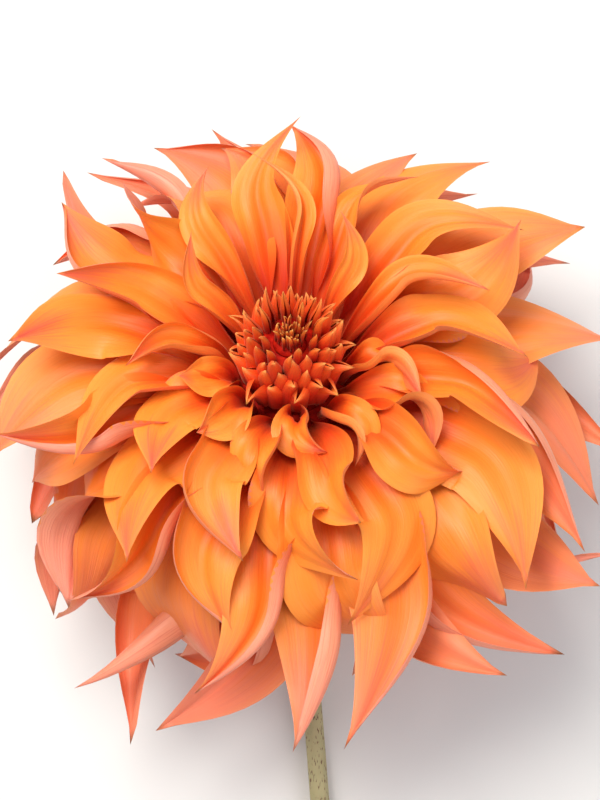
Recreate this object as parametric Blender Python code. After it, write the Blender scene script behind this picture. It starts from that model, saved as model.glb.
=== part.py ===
"""Dahlia bloom, cut with a length of stem and laid on its back on a table.

The bloom is a dinnerplate dahlia of the informal decorative kind: many close rows of
broad, twisted ray florets round a cone of rolled young florets, with a small disc of
unopened buds at the tip. Florets are set out by the golden angle from the back row
inward, and each one's form is drawn from tables along that order by a seeded draw.

Frame: metres, +Z up, table top at z = 0, origin under the middle of the whole flower.
The stem runs towards -Y and the bloom faces up and slightly towards +Y.
"""
import math
import random

import bmesh
import bpy
from mathutils import Matrix, Vector

# --- where the head lies -------------------------------------------------------------
HEAD = Vector((-0.0003, 0.0698, 0.062))      # back of the receptacle, on the bloom's axis
HEAD_TILT = math.radians(20)            # bloom axis leans from +Z towards +Y
TABLE_CLEAR = 0.0030                    # florets that sag stay this far off the table
SUPPORT_SIDES = (math.radians(52), math.radians(128))   # two florets touch the table

# --- counts and seeds ----------------------------------------------------------------
GOLDEN_ANGLE = math.radians(137.50776)
RAY_CROWDING = 1.15                     # above 1, the rows crowd towards the back
RAYS, RAY_SEED = 88, 65
QUILLS, QUILL_SEED = 66, 3
BUDS, BUD_SEED = 36, 5
BRACTS = 6

# Petals that stand out of the bloom's outline: azimuth in degrees, row, then their own form
# (length, width, end angle in degrees, sweep, twist, hook to the side, hook over).
STRAYS = (
    (148, 0.10, 0.118, 0.027, 90, -0.25, -1.6, -0.15, -0.10),
    (17, 0.46, 0.109, 0.043, 114, -0.05, -0.6, -0.22, -0.20),
    (163, 0.12, 0.108, 0.031, 100, 0.05, 2.4, 0.22, 0.10),
    (46, 0.12, 0.110, 0.031, 92, -0.05, -2.2, -0.34, 0.00),
    (120, 0.54, 0.102, 0.032, 96, 0.05, 1.0, 0.20, -0.15),
    (74, 0.51, 0.092, 0.032, 98, -0.05, -0.8, -0.24, -0.15),
    (250, 0.08, 0.116, 0.042, 120, -0.05, 1.6, -0.30, -0.25),
    (266, 0.14, 0.116, 0.044, 122, -0.10, -1.0, -0.30, -0.25),
    (277, 0.39, 0.128, 0.044, 132, 0.05, 0.0, -0.16, -0.20),
    (291, 0.23, 0.112, 0.036, 124, 0.10, 1.2, 0.26, -0.30),
    (320, 0.08, 0.116, 0.036, 114, 0.05, 1.8, 0.22, -0.25),
)

# --- receptacle, measured along the bloom's axis from HEAD -----------------------------
GAP = 0.0003
CALYX_FOOT = -0.0170
RAY_CORE = ((0.0003, 0.0150), (0.0040, 0.0225), (0.0100, 0.0252), (0.0190, 0.0252),
            (0.0252, 0.0188))
QUILL_CORE = ((0.0255, 0.0176), (0.0350, 0.0166), (0.0450, 0.0142), (0.0518, 0.0120))
BUD_CORE = ((0.0522, 0.0068), (0.0530, 0.0066), (0.0540, 0.0048), (0.0546, 0.0018))
ROOT_DEPTH = 0.0045                     # how far a floret's foot is sunk in its core
QUILL_ROOT, BUD_ROOT = 0.0021, 0.0020

# --- stem ----------------------------------------------------------------------------
STEM_NECK, STEM_CUT = 0.0039, 0.0044    # radius at the neck and at the cut end
STEM_END = Vector((0.0187, -0.2022, STEM_CUT))
STEM_BOW = 0.038                        # handle lengths of the stem's bend
STEM_LIE = 0.085
STEM_POINTS = 22

# --- blades --------------------------------------------------------------------------
BLADE_THICKNESS = 0.0012
BLADE_STATIONS = (0.36, 0.62, 0.83)
FOLD = 0.50                             # where a solid blade folds, as a share of its half
CURL_ZONE = 0.38                        # share of a blade's half that curls gently
CURL_SHARE = 0.30                       # share of the whole turn that this zone makes
HOOK_FROM = 0.63                        # share of the length where the tip starts to hook
HOOK_POWER = 2.2
CURL_SETTLES = (0.32, 0.72)             # where the curl passes from the middle's to the tip's
LEAST_SQUARE = 0.55                     # keeps a steep fold's skin from growing too thick

# --- rolled florets, buds and cores -----------------------------------------------------
ROLLED_RATIO = 2.7                      # flat half width over the rolled tube's radius
QUILL_SIDES, QUILL_STATIONS = 4, (0.5, 0.82)
BUD_SIDES, BUD_STATIONS = 3, (0.6,)
RAY_CORE_SIDES, QUILL_CORE_SIDES, BUD_CORE_SIDES, CALYX_SIDES = 20, 16, 12, 16

COLOURS = {
    "ray_florets": (0.90, 0.23, 0.035),
    "centre_florets": (0.62, 0.055, 0.014),
    "disc_florets": (0.70, 0.20, 0.040),
    "calyx": (0.16, 0.22, 0.055),
    "stem": (0.28, 0.26, 0.095),
}


def smooth(low, high, x):
    """Ease from 0 at low to 1 at high."""
    t = min(max((x - low) / (high - low), 0.0), 1.0)
    return t * t * (3.0 - 2.0 * t)


def along(s, points):
    """Read a table of (position, value) pairs at s, in straight steps."""
    if s <= points[0][0]:
        return points[0][1]
    for (a, low), (b, high) in zip(points, points[1:]):
        if s <= b:
            return low + (high - low) * (s - a) / (b - a)
    return points[-1][1]


class Floret:
    """One floret: a curled, twisted blade on an arched centreline in the head's frame."""

    crease = 0.0

    def __init__(self, **form):
        self.__dict__.update(form)

    def direction(self, angle):
        """Unit vector in the floret's upright plane, angle measured from the axis."""
        out = Vector((math.cos(self.azimuth), math.sin(self.azimuth), 0.0))
        return out * math.sin(angle) + Vector((0.0, 0.0, math.cos(angle)))

    def centre(self, u):
        """Point and tangent of the centreline at u, from 0 at the foot to 1 at the tip."""
        side = Vector((-math.sin(self.azimuth), math.cos(self.azimuth), 0.0))
        foot = self.direction(math.pi / 2) * self.foot_radius + Vector((0.0, 0.0, self.foot_height))
        start = self.direction(self.start_angle)
        end = (self.direction(self.end_angle) + side * self.sweep).normalized()
        corner = foot + start * (self.rise * self.length)
        tip = corner + end * ((1.0 - self.rise) * self.length)
        inner, outer = foot.lerp(corner, 2 / 3), tip.lerp(corner, 2 / 3)
        m = 1.0 - u
        point = foot * m**3 + inner * (3 * m * m * u) + outer * (3 * m * u * u) + tip * u**3
        tangent = ((inner - foot) * (3 * m * m) + (outer - inner) * (6 * m * u)
                   + (tip - outer) * (3 * u * u))
        over = end.cross(side).normalized()
        hook = (side * self.hook_side - over * self.hook_over) * self.length
        q = max((u - HOOK_FROM) / (1.0 - HOOK_FROM), 0.0)
        point = point + hook * q**HOOK_POWER
        tangent = tangent + hook * (HOOK_POWER * q**(HOOK_POWER - 1.0) / (1.0 - HOOK_FROM))
        return point, tangent.normalized(), side

    def section(self, u):
        """Centre, tangent, cross direction and upper direction of the blade at u."""
        point, tangent, side = self.centre(u)
        upper = tangent.cross(side).normalized()
        cross = upper.cross(tangent)
        turn = self.twist * smooth(0.45, 1.0, u)
        return (point, tangent, cross * math.cos(turn) + upper * math.sin(turn),
                upper * math.cos(turn) - cross * math.sin(turn))

    def half_width(self, u):
        """Half the blade's flat width at u."""
        grow = self.base_share + (1.0 - self.base_share) * smooth(0.02, self.widest, u)
        x = min(max((u - self.widest) / (1.0 - self.widest), 0.0), 1.0)
        return self.width / 2 * grow * (1.0 - x**self.shoulder) ** self.taper

    def curl(self, u, side):
        """Angle that the blade's half on this side (-1 or 1) turns through by its margin."""
        tip_curl = self.curl_left if side < 0 else self.curl_right
        foot = (self.curl_foot - self.curl_middle) * (1.0 - smooth(0.05, 0.42, u))
        return foot + self.curl_middle + (tip_curl - self.curl_middle) * smooth(*CURL_SETTLES, u)

    def skin(self, u, v):
        """Point and normal of the blade at u along and v across, from -1 to 1."""
        point, _, cross, upper = self.section(u)
        side = math.copysign(1.0, v)
        total = self.curl(u, side)
        angle = self.crease * smooth(0.10, 0.45, u)
        across = above = 0.0
        gentle = min(abs(v), CURL_ZONE)
        steep = abs(v) - gentle
        for length, turn in ((gentle, total * CURL_SHARE * gentle / CURL_ZONE),
                             (steep, total * (1.0 - CURL_SHARE) * steep / (1.0 - CURL_ZONE))):
            chord = self.half_width(u) * length
            if abs(turn) > 1e-6:
                chord *= 2.0 * math.sin(turn / 2.0) / turn
            across += chord * math.cos(angle + turn / 2.0)
            above += chord * math.sin(angle + turn / 2.0)
            angle += turn
        normal = upper * math.cos(angle) - cross * (side * math.sin(angle))
        return point + cross * (side * across) + upper * above, normal

    def rim(self, u):
        """The two margin points of the blade at u."""
        return [self.skin(u, -1.0)[0], self.skin(u, 1.0)[0]]


def ray_floret_forms():
    """The ray florets, from the back row (s = 0) to the row round the cone (s = 1)."""
    rng = random.Random(RAY_SEED)

    def spread(a):
        return rng.uniform(-a, a)

    florets = []
    for n in range(RAYS):
        s = 1 - (1 - n / (RAYS - 1))**RAY_CROWDING
        azimuth = 1.9 + n * GOLDEN_ANGLE + spread(0.05)
        up, side = math.sin(azimuth), math.cos(azimuth)
        young = along(s, ((0.70, 0.0), (0.95, 1.0)))
        length = along(s, ((0, 0.106), (0.12, 0.120), (0.45, 0.122), (0.65, 0.108),
                           (0.80, 0.080), (0.92, 0.054), (1, 0.038)))
        width = along(s, ((0, 0.038), (0.15, 0.043), (0.5, 0.043), (0.75, 0.035),
                          (0.9, 0.026), (1, 0.019)))
        start = along(s, ((0, 92), (0.25, 80), (0.5, 64), (0.75, 50), (0.9, 36), (1, 14)))
        end = along(s, ((0, 138), (0.2, 130), (0.5, 120), (0.75, 112), (1, 100)))
        lean = along(s, ((0, 17), (0.6, 20), (1, 36) if up > 0 else (1, 6)))
        swing = rng.choice((-1, 1)) * rng.uniform(0.2, 1.0)
        rolls = rng.random() < along(s, ((0, 0.90), (0.5, 0.65), (1, 0.25)))
        rolled = rng.uniform(2.3, 3.6) * (1 - 0.5 * young) if rolls else rng.uniform(-0.8, 0.4)
        plain = rng.uniform(-0.9, 0.4) + 1.7 * young
        turned_over = rng.random() < along(s, ((0, 0.75), (0.25, 0.35), (0.6, 0.10)))
        hand = math.copysign(1.0, swing)
        full = along(up, ((-1, 1.06), (-0.5, 0.98), (0, 0.88), (0.5, 0.93), (1, 0.90)))
        reach = young * (1 + 0.6 * max(up, 0)) + full * (1 - young)
        florets.append(Floret(
            place=s, azimuth=azimuth, length=length * (1 + spread(0.05)) * reach,
            width=width * (1 + spread(0.08)) * (1 - 0.42 * young * max(up, 0)),
            foot_radius=along(s, ((0, 0.0215), (0.4, 0.0235), (0.8, 0.0235), (1, 0.0226))),
            foot_height=along(s, ((0, 0.0045), (0.5, 0.0135), (0.75, 0.0185), (1, 0.0250))),
            start_angle=math.radians(start + spread(2) - (6 - 12 * young) * up),
            end_angle=math.radians(end + spread(3.5) - lean * up),
            rise=along(s, ((0, 0.34), (0.5, 0.50), (1, 0.52))),
            sweep=swing * 0.20 - 0.18 * side,
            twist=-hand * (rng.uniform(1.2, 2.5) if turned_over else rng.uniform(0.1, 0.8)),
            hook_side=-hand * rng.uniform(0.14, 0.38) - 0.12 * side,
            hook_over=rng.uniform(-0.36, 0.16),
            curl_foot=1.9 + spread(0.2) + 0.8 * young,
            curl_middle=rng.uniform(0.3, 0.9) + 1.5 * young,
            curl_left=plain if hand > 0 else rolled,
            curl_right=rolled if hand > 0 else plain,
            widest=rng.uniform(0.42, 0.52), shoulder=rng.uniform(4.2, 5.8) - 2.2 * young * max(up, 0),
            taper=rng.uniform(1.4, 1.7), base_share=0.18 + 0.32 * young,
            crease=rng.uniform(-0.22, 0.38)))
    return florets


def quill_forms():
    """The rolled young florets of the cone, from its foot (s = 0) to its tip (s = 1)."""
    rng = random.Random(QUILL_SEED)

    def spread(a):
        return rng.uniform(-a, a)

    florets = []
    for n in range(QUILLS):
        s = n / (QUILLS - 1)
        opening = along(s, ((0, 0.7), (0.2, 0.3), (0.42, 0.0)))
        azimuth = 0.7 + n * GOLDEN_ANGLE + spread(0.06)
        up = math.sin(azimuth)
        florets.append(Floret(
            place=s, azimuth=azimuth,
            length=along(s, ((0, 0.0215), (0.5, 0.0245), (0.8, 0.0205), (1, 0.0130)))
            * (1 + spread(0.08 + 0.16 * s)),
            width=along(s, ((0, 0.0275), (0.5, 0.0225), (0.75, 0.0160), (0.85, 0.0110), (1, 0.0076)))
            * (1 + spread(0.06)),
            foot_radius=along(s, ((0, 0.0196), (0.3, 0.0184), (0.5, 0.0170), (0.75, 0.0155),
                                 (0.86, 0.0134), (1, 0.0106))),
            foot_height=along(s, ((0, 0.0285), (0.2, 0.0300), (0.5, 0.0350), (0.75, 0.0425),
                                 (0.86, 0.0495), (1, 0.0520))),
            start_angle=math.radians(along(s, ((0, 15), (0.5, 9), (0.85, 7), (1, 2))) + spread(3)),
            end_angle=math.radians(along(s, ((0, 8), (0.5, -2), (1, 8)))
                                   + spread(4) + 16 * opening * rng.random() + 9 * up * s),
            rise=0.5, sweep=spread(0.05), twist=spread(0.3),
            hook_side=spread(0.22) * (0.4 + opening),
            hook_over=rng.uniform(-0.10, 0.12 + 0.2 * opening),
            curl_foot=2.8, curl_middle=2.8,
            curl_left=3.0 - 1.2 * opening * rng.random(),
            curl_right=3.0 - 1.2 * opening * rng.random(),
            widest=0.42, shoulder=1.9, taper=1.25, base_share=0.95))
    return florets


def bud_forms():
    """The unopened buds of the disc, from its rim (s = 0) to its middle (s = 1)."""
    rng = random.Random(BUD_SEED)

    def spread(a):
        return rng.uniform(-a, a)

    florets = []
    for n in range(BUDS):
        s = n / (BUDS - 1)
        florets.append(Floret(
            place=s, azimuth=n * GOLDEN_ANGLE,
            length=along(s, ((0, 0.0120), (0.3, 0.0098), (0.6, 0.0084), (1, 0.0074)))
            * (1 + spread(0.4)), width=0.0036,
            foot_radius=0.0060 * math.sqrt(1 - s) + 0.0002,
            foot_height=along(s, ((0, 0.0543), (0.5, 0.0546), (1, 0.0550))),
            start_angle=math.radians(6 * (1 - s)), end_angle=math.radians(spread(14)),
            rise=0.5, sweep=spread(0.1), twist=spread(0.5), hook_side=spread(0.1),
            hook_over=spread(0.1), curl_foot=2.9, curl_middle=2.9, curl_left=2.4,
            curl_right=2.4, widest=0.6, shoulder=2.2, taper=0.9, base_share=0.7))
    return florets


def head_matrix():
    """Transform from the head's frame (axis +Z, foot at 0) to the part's frame."""
    return Matrix.Translation(HEAD) @ Matrix.Rotation(-HEAD_TILT, 4, "X")


def lowest(floret, matrix):
    """Lowest height that the floret's rib and margins reach above the table."""
    heights = []
    for k in range(6, 21):
        u = k / 20
        points = floret.rim(u) + [floret.centre(u)[0]]
        heights += [(matrix @ p).z for p in points]
    return min(heights)


def turned_away(floret, azimuth):
    """Angle between the floret's side and an azimuth."""
    return abs((floret.azimuth - azimuth + math.pi) % (2 * math.pi) - math.pi)


def let_stray(florets):
    """Give the florets nearest to the strays' places the strays' own forms."""
    for degrees, row, length, width, end, sweep, twist, hook_side, hook_over in STRAYS:
        azimuth = math.radians(degrees)
        stray = min(florets, key=lambda f: turned_away(f, azimuth) + 2 * abs(f.place - row))
        stray.azimuth, stray.length, stray.width = azimuth, length, width
        stray.end_angle, stray.sweep, stray.twist = math.radians(end), sweep, twist
        stray.hook_side, stray.hook_over = hook_side, hook_over


def bed_on_table(florets, matrix):
    """Lift sagging florets clear of the table, and lower one on each side to touch it."""
    step = math.radians(0.5)
    for floret in florets:
        while lowest(floret, matrix) < TABLE_CLEAR and floret.end_angle > 0.8:
            floret.end_angle -= step
    for wanted in SUPPORT_SIDES:
        prop = min(florets, key=lambda f: turned_away(f, wanted) + 4 * f.place)
        while lowest(prop, matrix) > 0.0 and prop.end_angle < 2.9:
            prop.end_angle += step / 20


def loft(name, rings, tip):
    """Mesh a closed spindle: rings of equal count, capped at the foot, to one tip point."""
    bm = bmesh.new()
    loops = [[bm.verts.new(p) for p in ring] for ring in rings]
    count = len(loops[0])
    for lower, upper in zip(loops, loops[1:]):
        for j in range(count):
            k = (j + 1) % count
            if j % 2:
                bm.faces.new((lower[j], lower[k], upper[j]))
                bm.faces.new((lower[k], upper[k], upper[j]))
            else:
                bm.faces.new((lower[j], lower[k], upper[k]))
                bm.faces.new((lower[j], upper[k], upper[j]))
    end = bm.verts.new(tip)
    for j in range(count):
        bm.faces.new((loops[-1][j], loops[-1][(j + 1) % count], end))
    bm.faces.new(reversed(loops[0]))
    bmesh.ops.triangulate(bm, faces=[f for f in bm.faces if len(f.verts) > 3])
    bmesh.ops.recalc_face_normals(bm, faces=bm.faces)
    mesh = bpy.data.meshes.new(name)
    bm.to_mesh(mesh)
    bm.free()
    return mesh


def blade_mesh(name, floret):
    """A ray floret's blade: a plate between two folds, with a wing out to each margin."""
    rings = []
    for u in (0.0,) + BLADE_STATIONS:
        tangent = floret.section(u)[1]
        left, right = floret.rim(u)
        folds = [floret.skin(u, -FOLD), floret.skin(u, FOLD)]
        plate = (folds[1][0] - folds[0][0]).normalized()
        lower, upper = [], []
        for place, normal in folds:
            square = math.sqrt(max(1.0 - normal.dot(plate)**2, 0.0))
            skin = normal * (BLADE_THICKNESS / 2 / max(square, LEAST_SQUARE))
            lower.append(place - skin)
            upper.append(place + skin)
        ring = [left, lower[0], lower[1], right, upper[1], upper[0]]
        if u == 0.0:
            ring = [place - tangent * ROOT_DEPTH for place in ring]
        rings.append(ring)
    return loft(name, rings, floret.centre(1.0)[0])


def spindle_mesh(name, floret, root, sides, stations):
    """A rolled floret or bud: a pointed tube with a few sides."""
    rings = []
    for u in (0.0,) + stations:
        point, tangent, cross, upper = floret.section(u)
        radius = floret.half_width(u) / ROLLED_RATIO
        middle = point + upper * radius
        if u == 0.0:
            middle = middle - tangent * root
        ring = []
        for j in range(sides):
            a = 2 * math.pi * j / sides - math.pi / 2
            ring.append(middle + cross * (radius * math.cos(a)) + upper * (radius * math.sin(a)))
        rings.append(ring)
    return loft(name, rings, floret.centre(1.0)[0])


def turned_core(name, profile, sides):
    """Turn a (height, radius) profile round the axis into a closed solid."""
    bm = bmesh.new()
    loops = []
    for height, radius in profile:
        turn = [2 * math.pi * j / sides for j in range(sides)]
        loops.append([bm.verts.new((radius * math.cos(a), radius * math.sin(a), height))
                      for a in turn])
    for lower, upper in zip(loops, loops[1:]):
        for j in range(sides):
            k = (j + 1) % sides
            bm.faces.new((lower[j], lower[k], upper[k], upper[j]))
    bm.faces.new(reversed(loops[0]))
    bm.faces.new(loops[-1])
    mesh = bpy.data.meshes.new(name)
    bm.to_mesh(mesh)
    bm.free()
    return mesh


def material(name):
    """A petal or stem material in the part's colour."""
    mat = bpy.data.materials.new(name)
    mat.use_nodes = True
    shader = mat.node_tree.nodes["Principled BSDF"]
    shader.inputs["Base Color"].default_value = (*COLOURS[name], 1.0)
    shader.inputs["Roughness"].default_value = 0.55
    shader.inputs["Metallic"].default_value = 0.0
    return mat


def add_object(name, data, collection=None):
    """Link a new object, to the scene's collection or to the given one."""
    obj = bpy.data.objects.new(name, data)
    (collection or bpy.context.scene.collection).objects.link(obj)
    return obj


def keep_outer_body(mesh):
    """Weld, then keep the one largest shell, which fills hollows and drops scraps."""
    bm = bmesh.new()
    bm.from_mesh(mesh)
    bmesh.ops.triangulate(bm, faces=bm.faces)
    left = set(bm.faces)
    shells = []
    while left:
        seed = left.pop()
        shell, front = [seed], [seed]
        while front:
            face = front.pop()
            for edge in face.edges:
                for other in edge.link_faces:
                    if other in left:
                        left.remove(other)
                        shell.append(other)
                        front.append(other)
        volume = sum(f.verts[0].co.dot(f.verts[1].co.cross(f.verts[2].co)) for f in shell) / 6
        shells.append((volume, shell))
    shells.sort(key=lambda item: item[0])
    for _, shell in shells[:-1]:
        bmesh.ops.delete(bm, geom=shell, context="FACES")
    bm.to_mesh(mesh)
    bm.free()


def fuse(name, core_mesh, meshes, matrix):
    """Join a core and the florets sunk in it into one body, placed in the part's frame."""
    heap = bpy.data.collections.new(name + "_florets")
    bpy.context.scene.collection.children.link(heap)
    for mesh in meshes:
        add_object(mesh.name, mesh, heap)
    body = add_object(name, core_mesh)
    union = body.modifiers.new("union", "BOOLEAN")
    union.operation = "UNION"
    union.operand_type = "COLLECTION"
    union.collection = heap
    union.solver = "MANIFOLD"
    bpy.context.view_layer.update()
    graph = bpy.context.evaluated_depsgraph_get()
    fused = bpy.data.meshes.new_from_object(body.evaluated_get(graph))
    body.modifiers.remove(union)
    body.data = fused
    fused.name = name
    for obj in list(heap.objects):
        bpy.data.objects.remove(obj)
    bpy.data.collections.remove(heap)
    keep_outer_body(fused)
    fused.transform(matrix)
    fused.materials.clear()
    fused.materials.append(material(name))
    return body


def build_calyx(matrix):
    """Green foot of the head, with its outer bracts folded back along the stem."""
    profile = ((CALYX_FOOT, 0.0052), (-0.0120, 0.0085), (-0.0060, 0.0128), (-0.0015, 0.0150),
               (0.0, 0.0145))
    core = turned_core("calyx_core", profile, CALYX_SIDES)
    bracts = []
    for n in range(BRACTS):
        bract = Floret(
            place=0.0, azimuth=2 * math.pi * n / BRACTS, length=0.026, width=0.0105,
            foot_radius=0.0125, foot_height=-0.0050, start_angle=math.radians(120),
            end_angle=math.radians(164 - 8 * (n % 2)), rise=0.4, sweep=0.0, twist=0.0,
            hook_side=0.0, hook_over=-0.10, curl_foot=0.4, curl_middle=0.5, curl_left=0.6,
            curl_right=0.6, widest=0.45, shoulder=1.8, taper=1.0, base_share=0.6)
        bracts.append(blade_mesh("bract_%d" % n, bract))
    return fuse("calyx", core, bracts, matrix)


def build_stem(matrix):
    """The cut stem: it leaves the calyx along the axis, bends and lies along the table."""
    top = matrix @ Vector((0.0, 0.0, CALYX_FOOT - GAP))
    axis = matrix.to_3x3() @ Vector((0.0, 0.0, 1.0))
    neck = top - axis * STEM_NECK
    leave = neck - axis * STEM_BOW
    lie = STEM_END + Vector((-0.03, 1.0, 0.0)).normalized() * STEM_LIE
    lie.z = STEM_CUT
    data = bpy.data.curves.new("stem", "CURVE")
    data.dimensions = "3D"
    spline = data.splines.new("POLY")
    spline.points.add(STEM_POINTS)
    spline.points[0].co = (*top, 1.0)
    spline.points[0].radius = STEM_NECK / STEM_CUT
    for k in range(STEM_POINTS):
        t = k / (STEM_POINTS - 1)
        m = 1 - t
        place = neck * m**3 + leave * (3 * m * m * t) + lie * (3 * m * t * t) + STEM_END * t**3
        radius = STEM_NECK + (STEM_CUT - STEM_NECK) * t
        spline.points[k + 1].co = (*place, 1.0)
        spline.points[k + 1].radius = radius / STEM_CUT
    data.bevel_depth = STEM_CUT
    data.bevel_resolution = 2
    data.use_fill_caps = True
    data.materials.append(material("stem"))
    return add_object("stem", data)


def main():
    """Clear the scene and build the flower."""
    for obj in list(bpy.data.objects):
        bpy.data.objects.remove(obj, do_unlink=True)
    matrix = head_matrix()

    rays = ray_floret_forms()
    let_stray(rays)
    bed_on_table(rays, matrix)
    blades = [blade_mesh("ray_%03d" % n, f) for n, f in enumerate(rays)]
    fuse("ray_florets", turned_core("ray_core", RAY_CORE, RAY_CORE_SIDES), blades, matrix)

    quills = [spindle_mesh("quill_%03d" % n, f, QUILL_ROOT, QUILL_SIDES, QUILL_STATIONS)
              for n, f in enumerate(quill_forms())]
    fuse("centre_florets", turned_core("quill_core", QUILL_CORE, QUILL_CORE_SIDES), quills, matrix)

    buds = [spindle_mesh("bud_%03d" % n, f, BUD_ROOT, BUD_SIDES, BUD_STATIONS)
            for n, f in enumerate(bud_forms())]
    fuse("disc_florets", turned_core("bud_core", BUD_CORE, BUD_CORE_SIDES), buds, matrix)

    build_calyx(matrix)
    build_stem(matrix)


main()
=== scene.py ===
"""Dahlia bloom on its cut stem, laid on its back on a table: the fine surfaces and finishes.

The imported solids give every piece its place. Here each floret zone is replaced by finer
petals of the same forms, grown by Geometry Nodes from one carrier vertex per floret.
"""
import logging
import math
import random
from collections.abc import Callable
from dataclasses import dataclass
from enum import Enum

import bmesh
import bpy
from mathutils import Matrix, Vector


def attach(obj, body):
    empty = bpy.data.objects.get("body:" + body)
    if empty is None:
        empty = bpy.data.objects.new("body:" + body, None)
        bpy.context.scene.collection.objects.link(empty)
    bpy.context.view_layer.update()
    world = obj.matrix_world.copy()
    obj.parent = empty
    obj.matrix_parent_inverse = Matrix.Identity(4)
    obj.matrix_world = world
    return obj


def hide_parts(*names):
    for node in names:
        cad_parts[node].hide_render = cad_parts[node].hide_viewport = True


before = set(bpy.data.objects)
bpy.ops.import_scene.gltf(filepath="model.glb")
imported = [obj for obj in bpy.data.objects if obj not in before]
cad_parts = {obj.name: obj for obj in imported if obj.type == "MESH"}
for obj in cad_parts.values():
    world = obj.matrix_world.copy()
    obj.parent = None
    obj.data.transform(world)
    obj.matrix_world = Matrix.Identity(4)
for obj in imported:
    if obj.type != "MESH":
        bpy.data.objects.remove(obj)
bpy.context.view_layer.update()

LOG = logging.getLogger("dahlia")

Number = float | int
Span = tuple[float, float]
Triple = tuple[float, float, float]
Colour = tuple[float, float, float, float]
Table = tuple[Span, ...]
Stops = tuple[tuple[float, Colour], ...]

# --- where the head lies, as in the solids -------------------------------------------------
HEAD = Vector((-0.0003, 0.0698, 0.062))
HEAD_TILT = math.radians(20)
HEAD_MATRIX = Matrix.Translation(HEAD) @ Matrix.Rotation(-HEAD_TILT, 4, "X")
TABLE_CLEAR = 0.0030                    # petals that sag stay this far off the table
LIFT_STEP = math.radians(0.5)
LOWER_STEP = LIFT_STEP / 20
MOST_LIFTED = 0.8                       # end angles past which no petal is lifted or lowered
MOST_LOWERED = 2.9
RIB_CHECKS = range(6, 21)               # twentieths of a petal's length that are looked at
SUPPORT_SIDES = (math.radians(52), math.radians(128))
SUPPORT_ROW_WEIGHT = 4                  # what a row away counts beside a radian away
STRAY_ROW_WEIGHT = 2
GOLDEN_ANGLE = math.radians(137.50776)
RAY_CROWDING = 1.15                     # above 1, more petals stand in the back rows
# Petals that stand out of the bloom's outline: azimuth in degrees, row, then their own form
# (length, width, end angle in degrees, sweep, twist, hook to the side, hook over).
STRAYS = (
    (148, 0.10, 0.118, 0.027, 90, -0.25, -1.6, -0.15, -0.10),
    (17, 0.46, 0.109, 0.043, 114, -0.05, -0.6, -0.22, -0.20),
    (163, 0.12, 0.108, 0.031, 100, 0.05, 2.4, 0.22, 0.10),
    (46, 0.12, 0.110, 0.031, 92, -0.05, -2.2, -0.34, 0.00),
    (120, 0.54, 0.102, 0.032, 96, 0.05, 1.0, 0.20, -0.15),
    (74, 0.51, 0.092, 0.032, 98, -0.05, -0.8, -0.24, -0.15),
    (250, 0.08, 0.116, 0.042, 120, -0.05, 1.6, -0.30, -0.25),
    (266, 0.14, 0.116, 0.044, 122, -0.10, -1.0, -0.30, -0.25),
    (277, 0.39, 0.128, 0.044, 132, 0.05, 0.0, -0.16, -0.20),
    (291, 0.23, 0.112, 0.036, 124, 0.10, 1.2, 0.26, -0.30),
    (320, 0.08, 0.116, 0.036, 114, 0.05, 1.8, 0.22, -0.25),
)

# --- how a blade changes along itself, from its foot (0) to its tip (1) --------------------
HOOK_FROM = 0.63
HOOK_POWER = 2.2
WIDENS_FROM = 0.02
TWISTS = (0.45, 1.0)
FOOT_UNROLLS = (0.05, 0.42)
CURL_SETTLES = (0.32, 0.72)
CREASE_GROWS = (0.10, 0.45)
FOOT_CLOSES = (-0.02, 0.03)
ROOT_RISES = (0.0, 0.10)
WAVES_GROW = (0.1, 0.4)
RIDGES_GROW = (0.08, 0.3)
RIDGES_FADE = (0.7, 1.0)
# --- and across itself, from its rib (0) to its margin (1) ---------------------------------
CURL_ZONE = 0.38                        # share of a blade's half that curls gently
CURL_SHARE = 0.30                       # share of the whole turn that this zone makes
RIDGE_TURNS = 3 * math.pi
MARGIN_THINS = 0.6
SLIM_BELOW = 0.002                      # half widths under which the blade grows thinner
LEAST_TURN = 0.0005                     # arcs that turn less than this are taken as straight
MARGIN_FROM = 0.999                     # edges beyond this stay sharp
SEAM_NUDGE = 1.000001                   # keeps the skin's seam on one side of its margin
SKIN_STEEPNESS = 50.0                   # how soon the skin is at full thickness


def srgb(red: int, green: int, blue: int) -> Colour:
    """Turn an 8-bit display colour into a linear one.

    Args:
        red: level from 0 to 255.
        green: level from 0 to 255.
        blue: level from 0 to 255.

    Returns:
        The linear colour with full alpha.
    """
    def linear(level: float) -> float:
        """Linear value of one display level."""
        c = level / 255
        return c / 12.92 if c <= 0.04045 else ((c + 0.055) / 1.055) ** 2.4
    return linear(red), linear(green), linear(blue), 1.0


def smooth(low: float, high: float, x: float) -> float:
    """Ease from 0 at low to 1 at high."""
    t = min(max((x - low) / (high - low), 0.0), 1.0)
    return t * t * (3.0 - 2.0 * t)


def along(s: float, points: Table) -> float:
    """Read a table in straight steps.

    Args:
        s: position to read at.
        points: pairs of position and value, in order.

    Returns:
        The value at s, or the nearest end's value outside the table.
    """
    if s <= points[0][0]:
        return points[0][1]
    for (a, low), (b, high) in zip(points, points[1:]):
        if s <= b:
            return low + (high - low) * (s - a) / (b - a)
    return points[-1][1]


class Draws(random.Random):
    """Seeded draws."""

    def spread(self, reach: float) -> float:
        """Draw from -reach to reach."""
        return self.uniform(-reach, reach)


# --- node trees ------------------------------------------------------------------------------
def both_sides(operation: str) -> tuple[Callable, Callable]:
    """Make an operator of Field and its reflected form.

    Args:
        operation: the node operation behind it, by Math's name.

    Returns:
        The method for a field on the left and the one for a field on the right.
    """
    def left(self: "Field", other: "Field | Number") -> "Field":
        """Result with this field on the left."""
        return self.pair(operation, self, other)

    def right(self: "Field", other: "Field | Number") -> "Field":
        """Result with this field on the right."""
        return self.pair(operation, other, self)
    return left, right


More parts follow.
